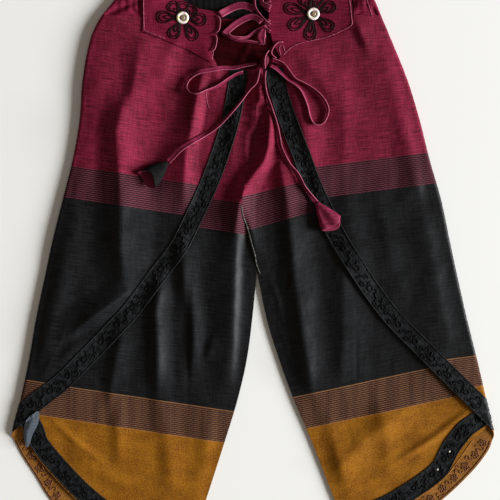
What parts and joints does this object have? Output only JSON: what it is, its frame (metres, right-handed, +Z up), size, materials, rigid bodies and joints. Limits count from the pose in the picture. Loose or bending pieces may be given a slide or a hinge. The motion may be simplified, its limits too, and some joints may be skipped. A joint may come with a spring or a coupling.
{
  "type": "wrap salwar trousers laid flat",
  "caption": "Wrap salwar trousers laid flat, in banded handwoven cloth with petal fronts, curved trimmed hems and a laced waist opening tied in a bow.",
  "frame": {"origin": "on the resting surface, under the middle of the whole garment", "axes": "+Z up from the surface, +Y from the hems to the waist, +X to the right of someone who looks down at the laid garment with its waist at the top"},
  "size_m": [0.6252, 0.766, 0.0187],
  "materials": {
    "striped_cloth": "slubby handwoven cotton in wine, black and mustard bands with lined borders, matt with a slight sheen",
    "wine_cloth": "handwoven wine cotton, matt with a slight sheen",
    "dark_wine_cloth": "handwoven dark wine cotton, matt",
    "black_cloth": "plain black cotton, matt",
    "embroidered_trim": "black satin-faced border with tonal looped stitching",
    "black_braid": "black twisted soutache braid",
    "wine_tape": "folded wine cotton tape, matt",
    "pearl_button": "pearly, glossy, with a tan bead"
  },
  "bodies": {
    "root": {"bow_knot": "wine_tape", "bow_loop_left": "wine_tape", "bow_loop_right": "wine_tape", "button_left": "pearl_button", "button_right": "pearl_button", "casing_left": "wine_cloth", "casing_right": "wine_cloth", "flower_braid_left": "black_braid", "flower_braid_right": "black_braid", "front_panel_left": "striped_cloth", "front_panel_right": "striped_cloth", "hem_trim_left": "embroidered_trim", "hem_trim_right": "embroidered_trim", "lace_bud_left": "wine_tape", "lace_bud_right": "wine_tape", "lace_loop_left_1": "wine_tape", "lace_loop_left_2": "wine_tape", "lace_loop_right_1": "wine_tape", "lace_loop_right_2": "wine_tape", "lace_loop_right_3": "wine_tape", "lace_run_bulge": "wine_tape", "lace_run_cross": "wine_tape", "lace_run_low": "wine_tape", "lace_run_middle": "wine_tape", "lace_run_short": "wine_tape", "lace_run_side": "wine_tape", "lace_run_top": "wine_tape", "lace_tail_left": "wine_tape", "lace_tail_right": "wine_tape", "petal_trim_left": "embroidered_trim", "petal_trim_right": "embroidered_trim", "placket": "dark_wine_cloth", "waistband_back": "black_cloth", "waistband_left": "wine_cloth", "waistband_right": "wine_cloth", "wrap_panel_left": "striped_cloth", "wrap_panel_right": "striped_cloth"}
  },
  "joints": []
}
